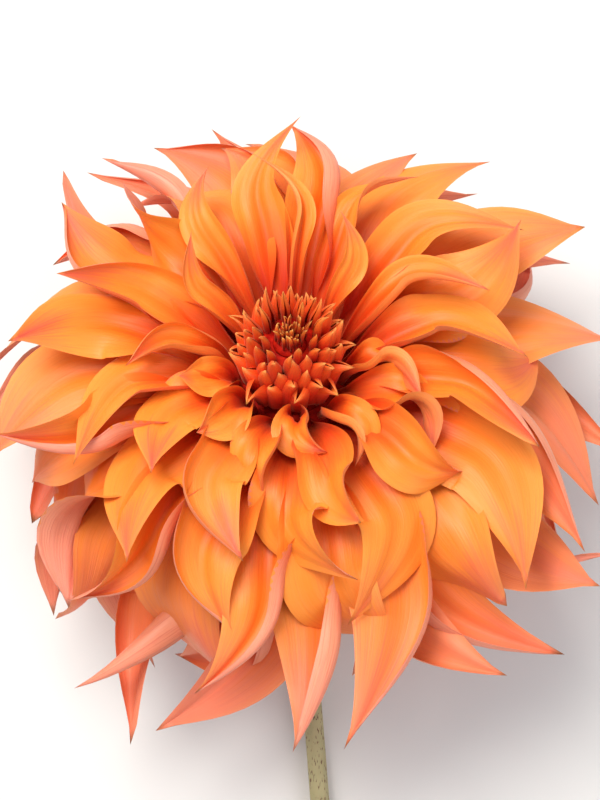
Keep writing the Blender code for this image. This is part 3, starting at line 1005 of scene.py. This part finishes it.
def skin_rings(name: str, bm: bmesh.types.BMesh,
               rings: list[list[bmesh.types.BMVert]]) -> bpy.types.Mesh:
    """Join rings into a closed smooth surface.

    Args:
        name: name of the mesh.
        bm: the mesh being built, which is used up.
        rings: its rings of vertices, in order.

    Returns:
        The mesh, with its faces pointing out.
    """
    for lower, upper in zip(rings, rings[1:]):
        for j in range(len(lower)):
            k = (j + 1) % len(lower)
            bm.faces.new((lower[j], lower[k], upper[k], upper[j]))
    bm.faces.new(reversed(rings[0]))
    bm.faces.new(rings[-1])
    bmesh.ops.recalc_face_normals(bm, faces=bm.faces)
    mesh = bpy.data.meshes.new(name)
    bm.to_mesh(mesh)
    bm.free()
    mesh.shade_smooth()
    return mesh


def turned(name: str, profile: Table, sides: int) -> bpy.types.Mesh:
    """Turn a profile round the head's axis.

    Args:
        name: name of the mesh.
        profile: pairs of height and radius, from the foot up.
        sides: how many sides the turned surface has.

    Returns:
        The closed mesh, in the part's frame.
    """
    bm = bmesh.new()
    across, up = Vector((1.0, 0.0, 0.0)), Vector((0.0, 1.0, 0.0))
    rings = [add_ring(bm, Vector((0.0, 0.0, height)), across, up, [radius] * sides)
             for height, radius in profile]
    bm.transform(HEAD_MATRIX)
    return skin_rings(name, bm, rings)


def place_piece(name: str, mesh: bpy.types.Mesh) -> bpy.types.Object:
    """Link a mesh as an object at the origin."""
    obj = bpy.data.objects.new(name, mesh)
    bpy.context.scene.collection.objects.link(obj)
    return obj


def hand_over(obj: bpy.types.Object, node: str) -> None:
    """Let a piece ride on the flower and stand for one of its solids.

    Args:
        obj: the piece.
        node: the solid's node.
    """
    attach(obj, "root")
    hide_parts(node)
    LOG.info("%s: %d faces, stands for %s", obj.name, len(obj.data.polygons), node)


# --- the flower's sub-assemblies -------------------------------------------------------------
@dataclass
class FloretZone:
    """Florets of one kind, grown as one piece, and the core that carries them."""

    node: str
    piece: str
    core_piece: str
    core_sides: int
    core: Table
    count: int
    seed: int
    columns: int
    rings: int
    thickness: float
    root_depth: float
    ridges: float = 0.0
    gentle_zone: float = 0.5
    gentle_share: float = 0.5

    def forms(self) -> list[Floret]:
        """The florets' forms, from the outermost to the innermost."""
        raise NotImplementedError

    def finishes(self) -> tuple[bpy.types.Material, bpy.types.Material]:
        """The materials of the florets and of the core."""
        raise NotImplementedError

    def build(self, grower: BladeGrower) -> None:
        """Grow the florets and turn the core that carries them.

        Args:
            grower: what grows the blades.
        """
        florets_finish, core_finish = self.finishes()
        florets = grower.grow(self.piece, self.forms(), {
            "Columns": self.columns, "Rings": self.rings, "Thickness": self.thickness,
            "Ridges": self.ridges, "Gentle zone": self.gentle_zone,
            "Gentle share": self.gentle_share, "Root depth": self.root_depth,
            "Seed": self.seed, "Material": florets_finish})
        hand_over(florets, self.node)
        core = place_piece(self.core_piece, turned(self.core_piece, self.core, self.core_sides))
        core.data.materials.append(core_finish)
        hand_over(core, self.node)


@dataclass
class RayFlorets(FloretZone):
    """The broad petals in their close rows, and the receptacle between their feet.

    Each table is read at s, the petal's row, from 0 at the back to 1 round the cone. Angles in
    the tables are in degrees from the head's axis.
    """

    node: str = "ray_florets"
    piece: str = "ray_petals"
    core_piece: str = "ray_receptacle"
    core_sides: int = 48
    core: Table = ((0.0003, 0.0150), (0.0040, 0.0225), (0.0100, 0.0252), (0.0190, 0.0252),
                   (0.0252, 0.0188))
    count: int = 88
    seed: int = 65
    columns: int = 28
    rings: int = 38
    thickness: float = 0.0006
    root_depth: float = 0.0030
    ridges: float = 0.0008
    gentle_zone: float = CURL_ZONE
    gentle_share: float = CURL_SHARE
    first_azimuth: float = 1.9
    youth: Table = ((0.70, 0.0), (0.95, 1.0))
    length: Table = ((0, 0.106), (0.12, 0.120), (0.45, 0.122), (0.65, 0.108), (0.80, 0.080),
                     (0.92, 0.054), (1, 0.038))
    width: Table = ((0, 0.038), (0.15, 0.043), (0.5, 0.043), (0.75, 0.035), (0.9, 0.026),
                    (1, 0.019))
    start: Table = ((0, 92), (0.25, 80), (0.5, 64), (0.75, 50), (0.9, 36), (1, 14))
    end: Table = ((0, 138), (0.2, 130), (0.5, 120), (0.75, 112), (1, 100))
    lean_up: Table = ((0, 17), (0.6, 20), (1, 36))
    lean_down: Table = ((0, 17), (0.6, 20), (1, 6))
    rolling: Table = ((0, 0.90), (0.5, 0.65), (1, 0.25))
    turning_over: Table = ((0, 0.75), (0.25, 0.35), (0.6, 0.10))
    fullness: Table = ((-1, 1.06), (-0.5, 0.98), (0, 0.88), (0.5, 0.93), (1, 0.90))
    foot_radius: Table = ((0, 0.0215), (0.4, 0.0235), (0.8, 0.0235), (1, 0.0226))
    foot_height: Table = ((0, 0.0045), (0.5, 0.0135), (0.75, 0.0185), (1, 0.0250))
    rise: Table = ((0, 0.34), (0.5, 0.50), (1, 0.52))

    def finishes(self) -> tuple[bpy.types.Material, bpy.types.Material]:
        """The materials of the petals and of the receptacle."""
        return Petals.RAY.value.build(), CoreFinish("receptacle_red").build()

    def forms(self) -> list[Floret]:
        """Draw the petals' forms.

        Returns:
            The forms, with the strays in place and all but the props clear of the table.
        """
        rng = Draws(self.seed)
        detail = random.Random(self.seed + 1)
        florets = []
        for n in range(self.count):
            s = 1 - (1 - n / (self.count - 1))**RAY_CROWDING
            azimuth = self.first_azimuth + n * GOLDEN_ANGLE + rng.spread(0.05)
            up, side = math.sin(azimuth), math.cos(azimuth)
            young = along(s, self.youth)
            young_up = young * max(up, 0)
            lean = along(s, self.lean_up if up > 0 else self.lean_down)
            swing = rng.choice((-1, 1)) * rng.uniform(0.2, 1.0)
            hand = math.copysign(1.0, swing)
            rolls = rng.random() < along(s, self.rolling)
            rolled = (rng.uniform(2.3, 3.6) * (1 - 0.5 * young) if rolls
                      else rng.uniform(-0.8, 0.4))
            plain = rng.uniform(-0.9, 0.4) + 1.7 * young
            turned_over = rng.random() < along(s, self.turning_over)
            reach = young + 0.6 * young_up + along(up, self.fullness) * (1 - young)
            florets.append(Floret(
                place=s, azimuth=azimuth,
                length=along(s, self.length) * (1 + rng.spread(0.05)) * reach,
                width=along(s, self.width) * (1 + rng.spread(0.08)) * (1 - 0.42 * young_up),
                foot_radius=along(s, self.foot_radius),
                foot_height=along(s, self.foot_height),
                start_angle=math.radians(along(s, self.start) + rng.spread(2)
                                         - (6 - 12 * young) * up),
                end_angle=math.radians(along(s, self.end) + rng.spread(3.5) - lean * up),
                rise=along(s, self.rise),
                sweep=swing * 0.20 - 0.18 * side,
                twist=-hand * (rng.uniform(1.2, 2.5) if turned_over else rng.uniform(0.1, 0.8)),
                hook_side=-hand * rng.uniform(0.14, 0.38) - 0.12 * side,
                hook_over=rng.uniform(-0.36, 0.16),
                curl_foot=1.9 + rng.spread(0.2) + 0.8 * young,
                curl_middle=rng.uniform(0.3, 0.9) + 1.5 * young,
                curl_left=plain if hand > 0 else rolled,
                curl_right=rolled if hand > 0 else plain,
                widest=rng.uniform(0.42, 0.52),
                shoulder=rng.uniform(4.2, 5.8) - 2.2 * young_up,
                taper=rng.uniform(1.4, 1.7),
                base_share=0.18 + 0.32 * young,
                crease=rng.uniform(-0.22, 0.38),
                wave=(detail.uniform(0.0004, 0.0030) * (1 - 0.8 * young),
                      detail.uniform(1.0, 2.0), detail.uniform(0.0, 6.28))))
        let_stray(florets)
        bed_on_table(florets)
        return florets


@dataclass
class CentreFlorets(FloretZone):
    """The cone of rolled young florets round the disc.

    Each table is read at s, from 0 at the cone's foot to 1 at its tip.
    """

    node: str = "centre_florets"
    piece: str = "centre_quills"
    core_piece: str = "centre_cone"
    core_sides: int = 40
    core: Table = ((0.0255, 0.0176), (0.0350, 0.0166), (0.0450, 0.0142), (0.0518, 0.0120))
    count: int = 66
    seed: int = 3
    columns: int = 16
    rings: int = 14
    thickness: float = 0.0005
    root_depth: float = 0.0020
    first_azimuth: float = 0.7
    opening: Table = ((0, 0.7), (0.2, 0.3), (0.42, 0.0))
    length: Table = ((0, 0.0215), (0.5, 0.0245), (0.8, 0.0205), (1, 0.0130))
    width: Table = ((0, 0.0275), (0.5, 0.0225), (0.75, 0.0160), (0.85, 0.0110), (1, 0.0076))
    foot_radius: Table = ((0, 0.0196), (0.3, 0.0184), (0.5, 0.0170), (0.75, 0.0155),
                          (0.86, 0.0134), (1, 0.0106))
    foot_height: Table = ((0, 0.0285), (0.2, 0.0300), (0.5, 0.0350), (0.75, 0.0425),
                          (0.86, 0.0495), (1, 0.0520))
    start: Table = ((0, 15), (0.5, 9), (0.85, 7), (1, 2))
    end: Table = ((0, 8), (0.5, -2), (1, 8))

    def finishes(self) -> tuple[bpy.types.Material, bpy.types.Material]:
        """The materials of the rolled florets and of the cone."""
        return Petals.QUILL.value.build(), CoreFinish("cone_red").build()

    def forms(self) -> list[Floret]:
        """Draw the rolled florets' forms.

        Returns:
            The forms, from the cone's foot to its tip.
        """
        rng = Draws(self.seed)
        florets = []
        for n in range(self.count):
            s = n / (self.count - 1)
            opening = along(s, self.opening)
            azimuth = self.first_azimuth + n * GOLDEN_ANGLE + rng.spread(0.06)
            inward = 9 * math.sin(azimuth) * s
            florets.append(Floret(
                place=s, azimuth=azimuth,
                length=along(s, self.length) * (1 + rng.spread(0.08 + 0.16 * s)),
                width=along(s, self.width) * (1 + rng.spread(0.06)),
                foot_radius=along(s, self.foot_radius),
                foot_height=along(s, self.foot_height),
                start_angle=math.radians(along(s, self.start) + rng.spread(3)),
                end_angle=math.radians(along(s, self.end) + rng.spread(4)
                                       + 16 * opening * rng.random() + inward),
                rise=0.5, sweep=rng.spread(0.05), twist=rng.spread(0.3),
                hook_side=rng.spread(0.22) * (0.4 + opening),
                hook_over=rng.uniform(-0.10, 0.12 + 0.2 * opening),
                curl_foot=2.8, curl_middle=2.8,
                curl_left=3.0 - 1.2 * opening * rng.random(),
                curl_right=3.0 - 1.2 * opening * rng.random(),
                widest=0.42, shoulder=1.9, taper=1.25, base_share=0.95))
        return florets


@dataclass
class DiscFlorets(FloretZone):
    """The small golden-tipped buds at the cone's tip.

    Each table is read at s, from 0 at the disc's rim to 1 in its middle.
    """

    node: str = "disc_florets"
    piece: str = "disc_buds"
    core_piece: str = "disc_knob"
    core_sides: int = 32
    core: Table = ((0.0522, 0.0068), (0.0530, 0.0066), (0.0540, 0.0048), (0.0546, 0.0018))
    count: int = 36
    seed: int = 5
    columns: int = 8
    rings: int = 8
    thickness: float = 0.0003
    root_depth: float = 0.0010
    width: float = 0.0036
    radius: float = 0.0060
    inner_radius: float = 0.0002
    length: Table = ((0, 0.0120), (0.3, 0.0098), (0.6, 0.0084), (1, 0.0074))
    foot_height: Table = ((0, 0.0543), (0.5, 0.0546), (1, 0.0550))

    def finishes(self) -> tuple[bpy.types.Material, bpy.types.Material]:
        """The materials of the buds and of the knob."""
        return Petals.BUD.value.build(), CoreFinish("disc_red").build()

    def forms(self) -> list[Floret]:
        """Draw the buds' forms.

        Returns:
            The forms, from the disc's rim to its middle.
        """
        rng = Draws(self.seed)
        florets = []
        for n in range(self.count):
            s = n / (self.count - 1)
            florets.append(Floret(
                place=s, azimuth=n * GOLDEN_ANGLE,
                length=along(s, self.length) * (1 + rng.spread(0.4)), width=self.width,
                foot_radius=self.radius * math.sqrt(1 - s) + self.inner_radius,
                foot_height=along(s, self.foot_height),
                start_angle=math.radians(6 * (1 - s)), end_angle=math.radians(rng.spread(14)),
                rise=0.5, sweep=rng.spread(0.1), twist=rng.spread(0.5),
                hook_side=rng.spread(0.1), hook_over=rng.spread(0.1), curl_foot=2.9,
                curl_middle=2.9, curl_left=2.4, curl_right=2.4, widest=0.6, shoulder=2.2,
                taper=0.9, base_share=0.7))
        return florets


@dataclass
class Calyx(FloretZone):
    """The green foot of the head with its outer bracts folded back."""

    node: str = "calyx"
    piece: str = "calyx_bracts"
    core_piece: str = "calyx_cup"
    core_sides: int = 48
    core: Table = ((-0.0170, 0.0052), (-0.0120, 0.0085), (-0.0060, 0.0128), (-0.0015, 0.0150),
                   (0.0, 0.0145))
    count: int = 6
    seed: int = 1
    columns: int = 20
    rings: int = 18
    thickness: float = 0.0012
    root_depth: float = 0.003
    ridges: float = 0.0003
    every_other_lift: float = 8

    def finishes(self) -> tuple[bpy.types.Material, bpy.types.Material]:
        """One green for the bracts and the cup."""
        green = GreenFinish("calyx_green", srgb(118, 138, 58), srgb(76, 100, 42),
                            srgb(96, 40, 26), 0.35).build()
        return green, green

    def forms(self) -> list[Floret]:
        """Set out the bracts' forms.

        Returns:
            The forms, in their turn round the stem.
        """
        return [Floret(
            place=0.0, azimuth=2 * math.pi * n / self.count, length=0.026, width=0.0105,
            foot_radius=0.0125, foot_height=-0.0050, start_angle=math.radians(120),
            end_angle=math.radians(164 - self.every_other_lift * (n % 2)), rise=0.4, sweep=0.0,
            twist=0.0, hook_side=0.0, hook_over=-0.10, curl_foot=0.4, curl_middle=0.5,
            curl_left=0.6, curl_right=0.6, widest=0.45, shoulder=1.8, taper=1.0, base_share=0.6)
            for n in range(self.count)]


@dataclass
class Stem:
    """The cut stem: it leaves the calyx, bends and lies along the table."""

    neck: float = 0.0039
    cut: float = 0.0044
    start_height: float = -0.0173
    bow: float = 0.038
    lie: float = 0.085
    end_x: float = 0.0187
    end_y: float = -0.2022
    heading: Triple = (-0.03, 1.0, 0.0)
    flare: float = 0.0006
    flare_ends: float = 0.06
    sides: int = 32
    rings: int = 120
    ribs: int = 7
    rib_height: float = 0.00010
    # the cut end: radius and depth of each ring from its edge into the hollow
    hollow: Table = ((0.0021, 0.0), (0.0018, 0.0005), (0.00162, 0.0060))
    sharp_from: float = math.radians(50)

    def route(self) -> tuple[list[Vector], list[float]]:
        """Lay out the stem.

        Returns:
            The points along its middle, from the calyx to the cut, and the radius at each.
        """
        top = HEAD_MATRIX @ Vector((0.0, 0.0, self.start_height))
        axis = HEAD_MATRIX.to_3x3() @ Vector((0.0, 0.0, 1.0))
        neck = top - axis * self.neck
        leave = neck - axis * self.bow
        end = Vector((self.end_x, self.end_y, self.cut))
        lie = end + Vector(self.heading).normalized() * self.lie
        places, radii = [top], [self.neck + self.flare]
        for k in range(self.rings):
            t = k / (self.rings - 1)
            m = 1 - t
            places.append(neck * m**3 + leave * (3 * m * m * t) + lie * (3 * m * t * t)
                          + end * t**3)
            radii.append(self.neck + (self.cut - self.neck) * t
                         + self.flare * (1 - smooth(0.0, self.flare_ends, t)))
        return places, radii

    def build(self) -> None:
        """Sweep the stem, with a flared neck, faint ribs and a hollow cut end."""
        places, radii = self.route()
        ribs = [self.rib_height * (math.cos(self.ribs * 2 * math.pi * j / self.sides) - 1)
                for j in range(self.sides)]
        bm = bmesh.new()
        across = Vector((1.0, 0.0, 0.0))
        rings = []
        for k, (place, radius) in enumerate(zip(places, radii)):
            ahead = places[min(k + 1, len(places) - 1)] - places[max(k - 1, 0)]
            ahead.normalize()
            across = (across - ahead * across.dot(ahead)).normalized()
            up = ahead.cross(across)
            rings.append(add_ring(bm, place, across, up, [radius + rib for rib in ribs]))
        for radius, depth in self.hollow:
            rings.append(add_ring(bm, places[-1] - ahead * depth, across, up,
                                  [radius] * self.sides))
        mesh = skin_rings("stem_stalk", bm, rings)
        mesh.set_sharp_from_angle(angle=self.sharp_from)
        stalk = place_piece("stem_stalk", mesh)
        stalk.data.materials.append(GreenFinish(
            "stem_khaki", srgb(178, 168, 124), srgb(142, 134, 90), srgb(92, 44, 30), 0.8,
            stretch=(1.0, 0.25, 1.0)).build())
        hand_over(stalk, "stem")


# --- the studio ------------------------------------------------------------------------------
@dataclass(frozen=True)
class Softbox:
    """A square soft light."""

    name: str
    place: Triple
    size: float
    power: float
    colour: Triple

    def build(self, aim: Vector) -> None:
        """Hang the light.

        Args:
            aim: the point that it faces.
        """
        data = bpy.data.lights.new(self.name, "AREA")
        data.energy, data.size, data.color = self.power, self.size, self.colour
        lamp = bpy.data.objects.new(self.name, data)
        bpy.context.scene.collection.objects.link(lamp)
        lamp.location = self.place
        lamp.rotation_euler = (aim - lamp.location).to_track_quat("-Z", "Y").to_euler()


@dataclass
class Studio:
    """Plain pale floor, soft lights and the camera."""

    distance: float = 0.80
    elevation: float = math.radians(80)
    aim: Triple = (0.0037, 0.0738, 0.060)
    frame_width: float = 0.252
    frame_ratio: float = 4 / 3
    sensor: float = 36.0
    floor_size: float = 8.0
    floor_height: float = -0.0004
    paper: Colour = (0.80, 0.79, 0.76, 1.0)
    paper_roughness: float = 0.9
    sky: Colour = (0.90, 0.93, 1.0, 1.0)
    sky_strength: float = 0.54
    key: Softbox = Softbox("key_softbox", (-0.35, 0.50, 1.10), 0.7, 16.5, (1.0, 0.96, 0.91))
    fill: Softbox = Softbox("fill_softbox", (0.70, -0.55, 0.80), 0.9, 3.5, (0.95, 0.97, 1.0))

    def build(self) -> None:
        """Set the floor, the lights, the world and the camera."""
        bpy.ops.mesh.primitive_plane_add(size=self.floor_size,
                                         location=(0.0, 0.0, self.floor_height))
        floor = bpy.context.object
        floor.name = "studio_floor"
        paper = Surface("floor_paper", {"Base Color": self.paper,
                                        "Roughness": self.paper_roughness})
        floor.data.materials.append(paper.material)
        aim = Vector(self.aim)
        self.key.build(aim)
        self.fill.build(aim)
        world = bpy.data.worlds.new("studio_world")
        world.use_nodes = True
        background = world.node_tree.nodes["Background"]
        background.inputs["Color"].default_value = self.sky
        background.inputs["Strength"].default_value = self.sky_strength
        bpy.context.scene.world = world
        lens = bpy.data.cameras.new("camera")
        lens.sensor_width = self.sensor
        lens.lens = self.sensor * self.distance / (self.frame_width * self.frame_ratio)
        camera = bpy.data.objects.new("camera", lens)
        bpy.context.scene.collection.objects.link(camera)
        towards = Vector((0.0, -math.cos(self.elevation), math.sin(self.elevation)))
        camera.location = aim + towards * self.distance
        camera.rotation_euler = (-towards).to_track_quat("-Z", "Y").to_euler()
        bpy.context.scene.camera = camera
        bpy.context.scene.view_settings.view_transform = "Standard"


def main() -> None:
    """Build the flower and the studio."""
    logging.basicConfig(level=logging.INFO, format="%(name)s: %(message)s")
    grower = BladeGrower("blade_grower")
    for zone in (RayFlorets(), CentreFlorets(), DiscFlorets(), Calyx()):
        zone.build(grower)
    Stem().build()
    Studio().build()


if __name__ == "__main__":
    main()
